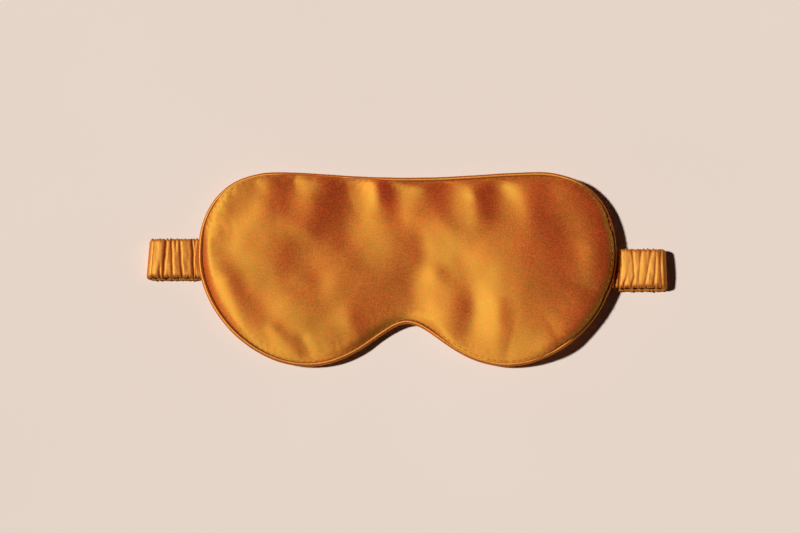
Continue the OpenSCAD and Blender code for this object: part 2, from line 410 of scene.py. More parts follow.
# Long soft folds in the front panel: the two ends in mm, the half-width, the height, below zero for a dent,
# and the share of the height that is lost at the second end.
FOLDS = [
    # along the brow edge, from left to right
    (-68.5, 46, -67, 30, 4.0, 1.3, 0.6),
    (-72, 28, -70, 10, 6.0, 0.9, 0.3),
    (-57, 47, -55, 36, 3.4, -0.9, 0.6),
    (-52, 47, -52, 41, 2.0, 0.4, 0.5),
    (-42, 47, -52, 20, 4.8, 1.4, 0.1),
    (-27, 46, -28.5, 16, 6.2, -1.8, 0.1),
    (-14.5, 45, -12, 26, 3.2, 1.5, 0.8),
    (-7.5, 45, -3, 28, 3.0, -1.5, 0.8),
    (6.0, 45, 7, 35, 4.4, 1.6, 0.5),
    (22.5, 45, 23, 36, 4.2, -1.8, 0.5),
    (34, 37, 34.5, 31, 4.4, 1.9, 0.2),
    (46, 39, 47, 28, 4.4, -1.9, 0.3),
    (61, 37, 63, 26, 6.5, 1.2, 0.4),
    # across the left lobe
    (-98, 26, -93, 29, 2.6, 0.6, 0.3),
    (-91, 20, -85, 23, 3.0, -0.6, 0.3),
    (-99, 11, -98, -2, 3.0, 1.0, 0.1),
    (-90, 9, -89, -3, 3.6, -0.4, 0.1),
    (-89.5, -8, -80.5, -28, 5.0, 1.6, 0.0),
    (-60, -12, -56, -26, 5.0, 0.6, 0.1),
    (-56, 24, -52, 14, 6.0, 0.5, 0.2),
    (-63, 28, -60, 16, 4.4, 0.7, 0.2),
    (-53, 8, -53, -2, 6.0, -1.1, 0.2),
    (-29, -27, -24, -35, 5.0, 1.0, 0.0),
    (-31, 6, -30, -5, 8.0, 0.8, 0.1),
    (-52, -8, -50, -18, 4.4, 0.7, 0.2),
    (-67, -31, -56.5, -43, 2.8, 0.7, 0.0),
    (-53, -36, -51, -44, 2.6, -0.5, 0.0),
    # between the lobes and above the notch
    (-7, 10, -7, -12, 6.4, 0.5, 0.3),
    (8, 8, 7, -5, 5.4, -0.6, 0.1),
    (14.5, -5, 17.5, -25, 4.8, 1.4, 0.0),
    (33, -18, 34, -29, 4.8, -1.5, 0.0),
    # right lobe
    (44.5, -18, 45, -32, 3.6, 0.4, 0.1),
    (53, -26, 54, -34, 3.6, -0.3, 0.1),
]
# Broad swellings of the padding: a place in mm, its half-width and half-height, and how far it stands up.
SWELLS = [
    (-84, 24, 12, 16, 0.9),
    (-96, -4, 9, 22, 1.3),
    (-58, -8, 15, 16, 0.3),
    (-16, -31, 17, 11, 1.9),
    (24, 24, 16, 14, 1.3),
    (48, 4, 22, 26, 2.7),
    (58, 4, 15, 28, 1.9),
    (97, 6, 9, 28, 2.5),
    (84, -30, 12, 14, 2.0),
]


def fold_height(points):
    """Height of the folds and swellings: ridges along short lines, bent so that none is straight."""
    bend = np.column_stack([rough(points, 17, 61), rough(points, 17, 62)])
    bent = points + 2.6 * bend
    height = np.zeros(len(points))
    for x0, y0, x1, y1, width, rise, fade in FOLDS:
        t, off = to_line(bent, np.array([x0, y0]), np.array([x1 - x0, y1 - y0]))
        height += rise * (1 - fade * t) * np.exp(-0.5 * (off / (width * (1 + 0.3 * t))) ** 2)
    for x, y, half_x, half_y, rise in SWELLS:
        off = ((points[:, 0] - x) / half_x) ** 2 + ((points[:, 1] - y) / half_y) ** 2
        height += rise * np.exp(-0.5 * off)
    return height


# Where the front panel bulges out over the piping: a place near the outline in mm, its reach, and how far
# it comes out.
BULGES = [
    (-98, 28, 12, 0.8),
    (-80, 44, 20, 1.3),
    (-50, 48, 22, 1.6),
    (-20, 47, 14, 1.4),
    (34, -42, 18, 1.2),
    (62, -47, 16, 1.1),
    (94, -30, 18, 1.2),
    (104, 4, 18, 1.2),
    (92, 36, 16, 1.2),
]


def rim_bulge(points):
    """How far the panel comes out over the piping near each point, in mm."""
    out = np.zeros(len(points))
    for x, y, reach, amount in BULGES:
        off = np.hypot(points[:, 0] - x, points[:, 1] - y)
        out = np.maximum(out, amount * np.exp(-0.5 * (off / reach) ** 4))
    return out


def strap_middle_y(x):
    """The strap's middle under the mask, which runs at a slight slant."""
    share = (x + SEAM_X) / (2 * SEAM_X)
    return LOWER_Y[-1] + (LOWER_Y[1] - LOWER_Y[-1]) * np.clip(share, 0, 1)


def flat_edge(points):
    """1 along the brow edge and the lower edges of the lobes, where the panel leaves the seam more level."""
    across, along = np.abs(points[:, 0]), np.abs(points[:, 1])
    return smooth((along - 22) / 18) * (1 - smooth((across - 60) / 38))


def front_height(points, inside):
    level = flat_edge(points)
    crown = 1 - (1 - np.clip(inside / FRONT_REACH, 0, 1)) ** 2
    bulge = rim_bulge(points)
    past = np.maximum(inside - SEAM_GROOVE * (1 - level) * (1 - np.clip(bulge / 1.4, 0, 1)), 0)
    puff = (FRONT_PUFF - 0.5 * level + 0.9 * bulge) * (1 - np.exp(-past / 0.6))
    right = smooth((points[:, 0] - 15) / 78)
    puff += (0.5 * (1 - 0.8 * level) + 2.0 * right) * (1 - np.exp(-past / (FRONT_ROUND + 2.5 * right)))
    folds = fold_height(points) * smooth(inside / 4)
    return FRONT_RIM_Z + 0.5 * level + puff + FRONT_RISE * (1 - 0.2 * level) * crown + folds


def push_out(points, inside, amount):
    """Moves points near the seam outwards, so that the panel rolls over the piping."""
    nearest = np.argmin(((points[:, None, :] - SEAM[None, :, :]) ** 2).sum(axis=2), axis=1)
    away = (SEAM - loop_inset(SEAM, 1))[nearest]
    share = inside / 1.2 * np.exp(1 - inside / 1.2)
    return points + away * (amount * share)[:, None]


def back_height(points, inside):
    """The back panel hangs down round the strap, which presses a shallow channel into it."""
    aside = np.abs(points[:, 1] - strap_middle_y(points[:, 0])) - STRAP_HALF_W
    clear = smooth((aside - 1.2) / 7)
    drop = CHANNEL_DROP + (BACK_DROP - CHANNEL_DROP) * clear
    profile = 1 - (1 - np.clip(inside / 24, 0, 1)) ** 2.4
    soft = 0.25 * rough(points, 16, 3) + 0.12 * rough(points, 7, 4)
    return BACK_RIM_Z - drop * profile + soft * smooth(inside / 8) * (0.25 + 0.75 * clear)


def pucker(points, inside, pitch, depth, reach, seed):
    """Small puckers that run in from the seam and fade out, one to a stitch or two."""
    from_middle = points - MIDDLE
    angle = np.arctan2(from_middle[:, 1], from_middle[:, 0])
    radius = np.hypot(from_middle[:, 0], from_middle[:, 1])
    along = np.column_stack([np.cos(angle), np.sin(angle)]) * 60
    vary = 0.55 + 0.9 * np.clip(rough(along, 9, seed) + 0.3, 0, 1)
    phase = radius * angle / pitch + 0.8 * rough(points, 6, seed + 1)
    fade = smooth(inside / 0.9) * np.exp(-inside / reach)
    return depth * vary * fade * np.sin(2 * math.pi * phase)


def panel_points(spacing):
    """Even points and triangles inside the seam: rings along the seam, and a staggered grid within them."""
    rings = [0, 0.3, 0.7, 1.2, 1.8, 2.6] if spacing < 1.5 else [0, 0.5, 1.2, 2.4]
    rings.append(rings[-1] + 0.9 * spacing)
    count = int(loop_length(SEAM) / spacing)
    points = [even_loop(loop_inset(SEAM, d), count) if d else even_loop(SEAM, count) for d in rings]
    row = spacing * math.sqrt(0.75)
    grid = []
    for k, y in enumerate(np.arange(-HALF_H, HALF_H, row)):
        x = np.arange(-HALF_W + (k % 2) * spacing / 2, HALF_W, spacing)
        grid.append(np.column_stack([x, np.full(len(x), y)]))
    grid = np.vstack(grid)
    grid = grid[edge_distance(grid, SEAM) > rings[-1] + 0.75 * spacing]
    points = np.vstack(points + [grid])
    made = delaunay_2d_cdt([Vector(p) for p in points], [], [list(range(count))[::-1]], 1, 1e-6)
    points = np.array([tuple(p) for p in made[0]])
    faces = [f if turns_left(points, f) else f[::-1] for f in made[2]]
    return points, faces


def turns_left(points, face):
    a, b, c = (points[i] for i in face[:3])
    return (b[0] - a[0]) * (c[1] - a[1]) - (b[1] - a[1]) * (c[0] - a[0]) > 0


# The simulated movement is smoothed in passes, then scaled until no point moves further than the cap, in mm
PRESSURE, SLACK, FRAMES, SMOOTHING_PASSES, MOVE_CAP = 0.5, 0.006, 12, 16, 0.7


def inflate(piece, rim):
    """Cloth simulation: the panel is held along its seam, has a little slack, and is blown up from inside."""
    rest = read_points(piece.data)
    group = piece.vertex_groups.new(name="rim")
    group.add([int(i) for i in rim], 1.0, "REPLACE")
    cloth = piece.modifiers.new("cloth", "CLOTH")
    cloth.settings.vertex_group_mass = "rim"
    cloth.settings.quality = 5
    cloth.settings.mass = 0.1
    cloth.settings.tension_stiffness = 20
    cloth.settings.compression_stiffness = 20
    cloth.settings.shear_stiffness = 8
    cloth.settings.bending_stiffness = 1.0
    cloth.settings.use_pressure = True
    cloth.settings.uniform_pressure_force = PRESSURE
    cloth.settings.shrink_min = -SLACK
    cloth.settings.effector_weights.gravity = 0
    cloth.collision_settings.use_collision = False
    scene = bpy.context.scene
    for number in range(1, FRAMES + 1):
        scene.frame_set(number)
    moved = read_points(piece.evaluated_get(bpy.context.evaluated_depsgraph_get()).data)
    scene.frame_set(1)
    piece.modifiers.remove(cloth)
    piece.vertex_groups.remove(group)
    step = moved - rest
    edges = np.array([tuple(edge.vertices) for edge in piece.data.edges])
    ways = np.bincount(edges.ravel(), minlength=len(rest))[:, None]
    for _ in range(SMOOTHING_PASSES):
        around = np.zeros_like(step)
        np.add.at(around, edges[:, 0], step[edges[:, 1]])
        np.add.at(around, edges[:, 1], step[edges[:, 0]])
        step = 0.5 * step + 0.5 * around / ways
    step[rim] = 0
    step *= min(1, MOVE_CAP * MM / np.linalg.norm(step, axis=1).max())
    write_points(piece.data, rest + step)


# UV units in a metre
UV_SCALE = 4


def lay_uv(piece):
    """A flat UV map with V along the satin's floats and U across them."""
    flat = piece.data.uv_layers.new(name="pattern")
    c, d = math.cos(math.radians(GRAIN)), math.sin(math.radians(GRAIN))
    for loop in piece.data.loops:
        place = piece.data.vertices[loop.vertex_index].co
        across, along = c * place.y - d * place.x, c * place.x + d * place.y
        flat.data[loop.index].uv = (UV_SCALE * across + 0.5, UV_SCALE * along + 0.5)


def add_thickness(piece, thickness):
    """Gives a sheet its thickness in mm, behind its faces."""
    solid = piece.modifiers.new("thickness", "SOLIDIFY")
    solid.thickness = thickness * MM


# Points nearer to the seam than this are on it, in mm
ON_SEAM = 0.05


def make_front():
    points, faces = panel_points(1.1)
    inside = np.maximum(edge_distance(points, SEAM), 0)
    height = front_height(points, inside)
    spread = push_out(points, inside, rim_bulge(points))
    piece = add_piece("front_satin", np.column_stack([spread, height]), faces, FRONT_SATIN)
    lay_uv(piece)
    # Painted shade in the groove beside the piping, less where the edge lies flatter or the panel bulges over
    # the piping
    open_seam = (1 - 0.8 * flat_edge(points)) * (1 - np.clip(rim_bulge(points) / 1.2, 0, 1))
    paint_shade(piece, 0.9 * open_seam * np.exp(-((inside - 0.45) / 0.6) ** 2))
    inflate(piece, np.flatnonzero(inside < ON_SEAM))
    co = read_points(piece.data)
    uneven = 0.10 * rough(points, 9, 5) * smooth(inside / 6)
    co[:, 2] += MM * (pucker(points, inside, 3.1, 0.26, 3.6, 11) + uneven)
    write_points(piece.data, co)
    return piece


def make_back():
    points, faces = panel_points(1.6)
    inside = np.maximum(edge_distance(points, SEAM), 0)
    height = back_height(points, inside) - pucker(points, inside, 3.3, 0.14, 3.0, 21)
    piece = add_piece("back_satin", np.column_stack([points, height]), [f[::-1] for f in faces], BACK_SATIN)
    lay_uv(piece)
    return piece


front = make_front()
back = make_back()
FRONT_TREE = BVHTree.FromObject(front, bpy.context.evaluated_depsgraph_get())
BACK_TREE = BVHTree.FromObject(back, bpy.context.evaluated_depsgraph_get())


# Heights in mm that are clear above and below the mask
ABOVE, BELOW = 40, -20


def front_z(x, y):
    """Height in mm of the front panel over a point, or of its seam when the point is just outside it."""
    hit = FRONT_TREE.ray_cast(Vector((x, y, ABOVE)) * MM, Vector((0, 0, -1)))
    return FRONT_RIM_Z if hit[0] is None else hit[0].z / MM


def back_z(x, y):
    hit = BACK_TREE.ray_cast(Vector((x, y, BELOW)) * MM, Vector((0, 0, 1)))
    return BACK_RIM_Z if hit[0] is None else hit[0].z / MM


add_thickness(front, PANEL_T)
add_thickness(back, PANEL_T)
for piece, node, slot in ((front, "front_panel", "satin_front"), (back, "back_panel", "satin_back")):
    on_mask(piece, node)

# ---------- piping ----------


def tube_points(loop, z, radius_fn, around, sway):
    """Rings of points round a closed line. sway is how far each ring is lifted."""
    count, inward = len(loop), inwards(loop)
    ring, turn = np.meshgrid(np.arange(count), turns(around), indexing="ij")
    radius = radius_fn(ring, turn)
    out = np.zeros((count, around, 3))
    out[:, :, 0] = loop[:, None, 0] + inward[:, None, 0] * radius * np.cos(turn)
    out[:, :, 1] = loop[:, None, 1] + inward[:, None, 1] * radius * np.cos(turn)
    out[:, :, 2] = z + sway[:, None] + radius * np.sin(turn)
    return out.reshape(-1, 3)


def piping_sway(loop):
    """How far the piping rises and falls, in mm."""
    return rough(loop, 14, 34) * 0.12


def make_piping():
    radius, wall, count, around, inner_around = 1.1, 0.3, 1300, 18, 10
    loop = even_loop(loop_inset(OUTLINE, 1.15), count)
    aside = rough(loop, 11, 31) * 0.12
    loop = loop + (loop_inset(loop, 1) - loop) * aside[:, None]
    step = loop_length(loop) / count
    along = np.column_stack([np.arange(count) * step, np.zeros(count)])
    fine, broad = rough(along, 1.5, 32), rough(along, 6, 33)

    def outer(ring, turn):
        twist = np.sin(ring * step / 1.9 * 2 * math.pi + 1.2 * turn)
        return radius * (1 + 0.030 * fine[ring] + 0.025 * broad[ring] + 0.012 * twist)

    def inner(ring, turn):
        return radius - wall + 0 * turn

    sway = piping_sway(loop)
    points = np.vstack([
        tube_points(loop, PIPING_Z, outer, around, sway),
        tube_points(loop, PIPING_Z, inner, inner_around, sway),
    ])
    faces = grid_faces(count, around, 0, True)
    faces += grid_faces(count, inner_around, count * around, True, True)
    piece = add_piece("piping", points, faces, PIPING_SATIN)
    flat = piece.data.uv_layers.new(name="pattern")
    first_inner = count * around
    for corner in piece.data.loops:
        i = corner.vertex_index
        ring, turn = divmod(i, around) if i < first_inner else divmod(i - first_inner, inner_around)
        flat.data[corner.index].uv = (0.02 * (ring % 40), 0.05 * turn)
    # Painted shade on the piping's inner flank, down in the groove by the seam
    shown = np.tile(0.9 * smooth((np.cos(turns(around)) - 0.15) / 0.6), count)
    paint_shade(piece, np.concatenate([shown, np.zeros(count * inner_around)]))
    return piece, loop


def make_cord(loop):
    """Three twisted strands inside the piping."""
    loop, sides = even_loop(loop, 900), 18
    step = loop_length(loop) / len(loop)
    twist_pitch = loop_length(loop) / round(loop_length(loop) / 6.5)

    def strands(ring, turn):
        return 0.64 + 0.08 * np.cos(3 * (turn - ring * step / twist_pitch * 2 * math.pi))

    points = tube_points(loop, PIPING_Z, strands, sides, piping_sway(loop))
    return add_piece("twisted_cord", points, grid_faces(len(loop), sides, 0, True), CORD)


piping, piping_line = make_piping()
cord = make_cord(piping_line)
on_mask(piping, "piping_cover")
on_mask(cord, "piping_cord")

# ---------- stitches ----------


def thread_run(points, radius, sides=6):
    """A short round thread through points, with closed ends."""
    points = np.array(points)
    along = np.gradient(points, axis=0)
    along /= np.linalg.norm(along, axis=1)[:, None]
    across = np.cross(along, [0, 0, 1])
    across /= np.linalg.norm(across, axis=1)[:, None]
    up = np.cross(across, along)
    taper = np.ones(len(points))
    taper[[0, -1]] = 0.55
    rings = [
        p + r * radius * (math.cos(t) * a + math.sin(t) * u)
        for p, a, u, r in zip(points, across, up, taper) for t in turns(sides)
    ]
    return rings, grid_faces(len(points), sides) + end_caps(len(points), sides)


def join_runs(name, runs, material):
    points, faces = [], []
    for run_points, run_faces in runs:
        base = len(points)
        points += list(run_points)
        faces += [tuple(i + base for i in f) for f in run_faces]
    return add_piece(name, points, faces, material)


def make_edge_stitches():
    """A row of stitches beside the piping, sunk where the panel bulges over them."""
    pitch, length, inset, radius = 3.1, 2.0, 0.75, 0.15
    line = loop_inset(SEAM, inset)
    count = int(loop_length(line) / pitch)
    steps, share = 7, 31
    fine = even_loop(line, count * share)
    runs = []
    for k in range(count):
        picks = [
            (k * share + round(j * share * length / pitch / (steps - 1))) % len(fine) for j in range(steps)
        ]
        run = []
        buried = rim_bulge(fine[picks[:1]])[0] > 1.5
        for j, i in enumerate(picks):
            x, y = fine[i]
            z = front_z(x, y) - (0.5 if buried else 0)
            arch = math.sin(math.pi * j / (steps - 1))
            run.append((x, y, z + radius * (1.5 * arch - 0.7)))
        runs.append(thread_run(run, radius))
    return join_runs("edge_stitches", runs, THREAD)


def make_tacks(side):
    """Two rows of stitches through the back panel, across the sewn end of the strap."""
    name = WORD[side]
    low, high = box_mm(f"{name}_tack")
    count, length, radius = 9, 1.5, 0.17
    runs = []
    for x in (low[0] + 0.2, high[0] - 0.2):
        for y in np.linspace(low[1], high[1] - length, count):
            run = []
            for t in np.linspace(0, 1, 6):
                z = back_z(x, y + t * length)
                run.append((x, y + t * length, z - radius * (1.5 * math.sin(math.pi * t) - 0.6)))
            runs.append(thread_run(run, radius))
    return join_runs(f"{name}_tack_stitches", runs, THREAD)


stitches = make_edge_stitches()
tacks = [make_tacks(side) for side in (-1, 1)]
for piece, node in ((stitches, "edge_stitching"), (tacks[0], "left_tack"), (tacks[1], "right_tack")):
    on_mask(piece, node)

# ---------- inside the mask ----------


def make_liner():
    """Blackout cloth that follows the front panel from just inside."""
    points, faces = panel_points(2.6)
    points = MIDDLE + (points - MIDDLE) * 0.985
    height = [front_z(x, y) - 0.75 for x, y in points]
    piece = add_piece("blackout_cloth", np.column_stack([points, height]), faces, BLACKOUT)
    add_thickness(piece, LINER_T)
    return piece


def make_padding():
    """Loose wadding that fills the mask inside the turned-in edges."""
    points, faces = panel_points(2.4)
    rim = edge_distance(points, SEAM)
    points = MIDDLE + (points - MIDDLE) * 0.9
    share = smooth(rim / 6)
    top = np.array([front_z(x, y) for x, y in points]) - 1.4
    low = np.array([back_z(x, y) for x, y in points]) + 0.7
    middle = np.minimum(np.maximum((top + low) / 2, PIPING_Z - 1.6), top - 0.1)
    top = middle + (top - middle) * share + 0.15 * rough(points, 5, 41) * share
    low = middle + (low - middle) * share
    count = len(points)
    both = np.vstack([np.column_stack([points, top]), np.column_stack([points, low])])
    sides = faces + [tuple(i + count for i in f[::-1]) for f in faces]
    piece = add_piece("padding_wadding", both, sides, WADDING)
    weld_rim(piece, np.flatnonzero(rim < ON_SEAM), count)
    return piece


def weld_rim(piece, rim, count):
    """Joins the upper and lower rim points of a closed form."""
    shape = bmesh.new()
    shape.from_mesh(piece.data)
    shape.verts.ensure_lookup_table()
    targets = {shape.verts[int(i) + count]: shape.verts[int(i)] for i in rim}
    bmesh.ops.weld_verts(shape, targetmap=targets)
    shape.to_mesh(piece.data)
    shape.free()


def make_allowance():
    """The turned-in edges: a flat strip all round, a little wavy at its inner side."""
    inner, outer, count = 6.2, 0.3, 700
    a, b = even_loop(loop_inset(SEAM, outer), count), even_loop(loop_inset(SEAM, inner), count)
    wave = 0.12 * rough(a, 6, 51)
    z = PIPING_Z - 0.35
    rings = []
    for line, lift, side in ((a, 0.0, 1), (b, wave * 2, 1), (b, wave * 2, -1), (a, 0.0, -1)):
        rings.append(np.column_stack([line, np.full(count, z) + lift + side * 0.15]))
    points = np.stack(rings, axis=1).reshape(-1, 3)
    return add_piece("turned_edges", points, grid_faces(count, 4, 0, True), TURNED_SATIN)


liner = make_liner()
padding = make_padding()
allowance = make_allowance()
on_mask(liner, "blackout_liner")
on_mask(padding, "padding")
on_mask(allowance, "seam_allowance")

# ---------- how the mask lies ----------

# Its edge isn't level: some of it stands clear of the table, and the notch and the lower edges of the lobes
# sag towards it. Each row is a place in mm, how far the lift reaches from it in X and in Y, and the lift.
LIFTS = [
    (104, 6, 24, 34, 0.6),
    (84, 48, 16, 12, 1.4),
    (78, -43, 14, 12, 2.4),
    (-15, -34, 16, 10, -2.4),
    (-62, -52, 38, 13, -3.0),
    (34, -52, 24, 12, -3.2),
]


def lay_down(piece):
    """Moves a piece of the mask with its edge. Whatever touches the table stays there."""
    co = read_points(piece.data) / MM
    lift = sum(
        up * np.exp(-((co[:, 0] - x) / wide) ** 2 - ((co[:, 1] - y) / high) ** 2)
        for x, y, wide, high, up in LIFTS
    )
    co[:, 2] += lift * np.clip(co[:, 2] / PIPING_Z, 0, 1)
    write_points(piece.data, co * MM)


for piece in (front, back, piping, cord, stitches, liner, padding, allowance, *tacks):
    lay_down(piece)

# ---------- strap ----------

FOLD_R = FOLD_Z - RETURN_Z
FOLD_CENTRE_X = FOLD_X - FOLD_R - 0.4
FOLD_HALF_T = 1.0
ROOT_END_X = SEAM_X - STRAP_HALF_T
LOWER_L = 2 * FOLD_CENTRE_X
UPPER_L = FOLD_CENTRE_X - ROOT_END_X
FOLD_L = math.pi * FOLD_R
STRAP_L = 2 * UPPER_L + 2 * FOLD_L + LOWER_L


def strap_place(s):
    """x, z, the outer side's direction in x and z, and the layer, at a length along the strap.

    The layer is 1 for the upper one, 0 for a fold and -1 for the lower one."""
    if s > STRAP_L / 2:
        x, z, nx, nz, layer = strap_place(STRAP_L - s)
        return -x, z, -nx, nz, layer
    if s <= UPPER_L:
        return -(ROOT_END_X + s), SEAM_TURN_Z, 0.0, 1.0, 1
    if s <= UPPER_L + FOLD_L:
        turn = (s - UPPER_L) / FOLD_R
        return (-(FOLD_CENTRE_X + FOLD_R * math.sin(turn)), FOLD_Z + FOLD_R * math.cos(turn),
                -math.sin(turn), math.cos(turn), 0)
    return -FOLD_CENTRE_X + (s - UPPER_L - FOLD_L), RETURN_Z, 0.0, -1.0, -1


def upper_s(side, x):
    """Length along the strap of the upper layer's point at x from the middle."""
    s = x - ROOT_END_X
    return s if side < 0 else STRAP_L - s


def lower_s(side, x):
    s = UPPER_L + FOLD_L + (FOLD_CENTRE_X - x)
    return s if side < 0 else STRAP_L - s


def strap_y(s, x, layer):
    side = -1 if s < STRAP_L / 2 else 1
    if layer == 1:
        return UPPER_Y[side]
    if layer == 0:
        turned = (min(s, STRAP_L - s) - UPPER_L) / FOLD_L
        return UPPER_Y[side] + (LOWER_Y[side] - UPPER_Y[side]) * float(smooth(turned))
    return float(strap_middle_y(x))


# Gathers of the casing on the two ends that show: where each crosses the strap's middle, in mm, its lean over
# the half width, its depth at the brow side, the middle and the nose side, and its width
LEFT_GATHERS = [
    (107.5, 0.5, 1.0, 1.0, 1.0, 0.25),
    (106.2, 0.4, 0.8, 0.0, 0.6, 0.22),
    (113.5, 0.6, 0.5, 0.6, 1.0, 0.25),
    (115.6, 0.5, 0.5, 0.0, 0.0, 0.22),
    (117.8, 0.3, 0.9, 0.4, 0.5, 0.22),
    (121.6, -0.6, 0.8, 0.9, 1.0, 0.25),
    (124.0, 0.3, 0.0, 0.0, 0.9, 0.22),
]
RIGHT_GATHERS = [
    (106.6, 0.5, 1.0, 1.0, 1.0, 0.25),
    (111.0, 2.6, 0.0, 0.0, 0.9, 0.24),
    (114.6, 2.2, 0.0, 0.0, 1.0, 0.24),
    (113.4, -0.6, 0.7, 0.2, 0.0, 0.25),
    (116.4, 0.9, 0.7, 0.1, 0.0, 0.25),
    (120.6, 1.8, 0.5, 0.2, 0.3, 0.24),
    (124.0, 0.9, 0.0, 0.3, 0.7, 0.24),
    (127.0, 0.2, 0.9, 0.3, 0.2, 0.25),
]
# The gathered cloth swells towards the tips, in mm
TIP_SWELL = {-1: 1.2, 1: 3.3}


def strap_gathers():
    """All the gathers, by length along the strap: the ones on the upper ends listed, and the rest drawn."""
    draw = random.Random(SEED)
    found = []
    for side, rows in ((-1, LEFT_GATHERS), (1, RIGHT_GATHERS)):
        for x, lean, brow_deep, deep, nose_deep, wide in rows:
            found.append((upper_s(side, x), -side * lean, brow_deep, deep, nose_deep, wide))
    s, end = lower_s(-1, FOLD_CENTRE_X) + 1, lower_s(1, FOLD_CENTRE_X) - 1
    while s < end:
        deep = draw.uniform(0.4, 1.0)
        lean, brow_deep, nose_deep = draw.uniform(-1.1, 1.1), draw.uniform(0.5, 1), draw.uniform(0.5, 1)
        found.append((s, lean, brow_deep, deep, nose_deep, draw.uniform(0.38, 0.6)))
        if draw.random() < 0.6:
            small = s + draw.uniform(1.2, 2.4)
            at_brow = draw.random() < 0.5
            brow_deep, nose_deep = (0.7, 0.0) if at_brow else (0.0, 0.7)
            found.append((small, draw.uniform(-1.5, 1.5), brow_deep, 0.0, nose_deep, 0.35))
        s += draw.uniform(2.8, 4.8)
    return np.array(found)


GATHERS = strap_gathers()


def gathered(s, share):
    """How deep each length along the strap is in a gather's crease, and in the hollow on both sides of it."""
    brow, nose = max(share, 0) ** 2.2, max(-share, 0) ** 2.2
    depth = GATHERS[:, 2] * brow + GATHERS[:, 3] * (1 - brow - nose) + GATHERS[:, 4] * nose
    wander = [0.35 * noise.noise(Vector((k * 5.1, share * 1.7, 2.0))) for k in range(len(GATHERS))]
    off = s[:, None] - (GATHERS[:, 0] + GATHERS[:, 1] * share + wander)[None, :]
    crease = (depth / (1 + (off / GATHERS[None, :, 5]) ** 2) ** 1.5).sum(axis=1)
    hollow = (depth * np.exp(-(off / 0.7) ** 2)).sum(axis=1)
    return np.minimum(crease, 1.1), np.minimum(hollow, 1.2)


def section(half_w, half_t, flats=20, arcs=7):
    """Points round a flat band's section as (across, out), from the brow edge's outer corner."""
    bend = min(half_t, half_w) * 0.98
    across = np.linspace(half_w - bend, -(half_w - bend), flats)
    turn = np.linspace(0, math.pi, arcs + 2)[1:-1]
    nose = [(-(half_w - bend) - bend * math.sin(t), half_t * math.cos(t)) for t in turn]
    brow = [((half_w - bend) + bend * math.sin(t), -half_t * math.cos(t)) for t in turn]
    return np.array([(a, half_t) for a in across] + nose + [(-a, -half_t) for a in across] + brow)


def half_thickness(s, full, pinched):
    """The strap thins towards its folds, and is rounded off at its sewn ends."""
    near = min(s, STRAP_L - s)
    to_fold = max(UPPER_L - near, near - UPPER_L - FOLD_L, 0)
    t = pinched + (full - pinched) * float(smooth(to_fold / 3))
    if near < STRAP_HALF_T:
        t = min(t, full * math.sqrt(max(1 - (1 - near / STRAP_HALF_T) ** 2, 0.004)))
    return t


def band_points(lengths, half_w, half_t, pinched, ruche):
    """Rings of points for a length of casing or elastic, and the painted shade of each: darker in the
    gathers' creases and along the band's edges. ruche is 1 for the gathered casing and 0 for a plain band."""
    base = section(half_w, half_t)
    shares = base[:, 0] / half_w
    outer, inner = np.clip(base[:, 1] / half_t, 0, 1), np.clip(-base[:, 1] / half_t, 0, 1)
    edge = np.sign(base[:, 0]) * smooth((np.abs(shares) - 0.80) / 0.2)
    if ruche:
        fields = [gathered(lengths, share) for share in shares]
        crease = np.stack([f[0] for f in fields], axis=1)
        hollow = np.stack([f[1] for f in fields], axis=1)
    rings, lift = [], 0
    for i, s in enumerate(lengths):
        x, z, nx, nz, layer = strap_place(s)
        side = -1 if s < STRAP_L / 2 else 1
        t = half_thickness(s, half_t, pinched)
        y = strap_y(s, x, layer)
        across, out = base[:, 0].copy(), base[:, 1] * t / half_t
        if ruche:
            thin = t / half_t
            far = float(smooth((abs(x) - SEAM_X - 0.6) / 3))
            turned = np.clip((min(s, STRAP_L - s) - UPPER_L) / FOLD_L, 0, 1)
            shown = thin * far * (1 - turned)
            swell = np.array([0.14 * noise.noise(Vector((s * 0.45, a * 0.22, 7.0))) for a in base[:, 0]])
            tip = TIP_SWELL[side] * float(np.clip((abs(x) - SEAM_X - 3) / 21, 0, 1)) * (1 - 0.35 * shares**2)
            lift = outer * tip * max(nz, 0)
            out += outer * (shown * (0.55 * (1 - hollow[i]) + swell) - 0.60 * thin * crease[i])
            out += inner * 0.30 * thin * crease[i]
            ruffle = [noise.noise(Vector((s, 9.0 + float(a > 0), 3.0 * layer))) for a in base[:, 0]]
            across += edge * (0.25 + 0.9 * np.array(ruffle) + 0.35 * hollow[i] - 0.5 * crease[i]) * thin
            if layer < 1:
                past_seam = float(smooth((abs(x) - SEAM_X) / 4))
                across += np.minimum(edge, 0) * (0.2 if side < 0 else 0.6) * past_seam
        rings.append(np.column_stack([x + nx * out, y + across, np.maximum(z + nz * out + lift, 0.02)]))
    painted_shade = np.zeros((len(lengths), len(base)))
    if ruche:
        # Painted shade: darker in the gathers' creases and along both edges of the band
        painted_shade = np.clip(1.4 * crease, 0, 0.95) + 0.5 * np.abs(edge)[None, :]
    return np.array(rings), painted_shade


def lean_tips(points):
    """The folded tips lean a little: their brow corners are nearer to the mask."""
    side = np.sign(points[..., 0])
    far = smooth((np.abs(points[..., 0]) - 118) / 11)
    middle = np.where(side < 0, UPPER_Y[-1], UPPER_Y[1])
    lean = np.where(side < 0, 0.075, 0.03)
    points[..., 0] -= side * far * lean * (points[..., 1] - middle)
    return points


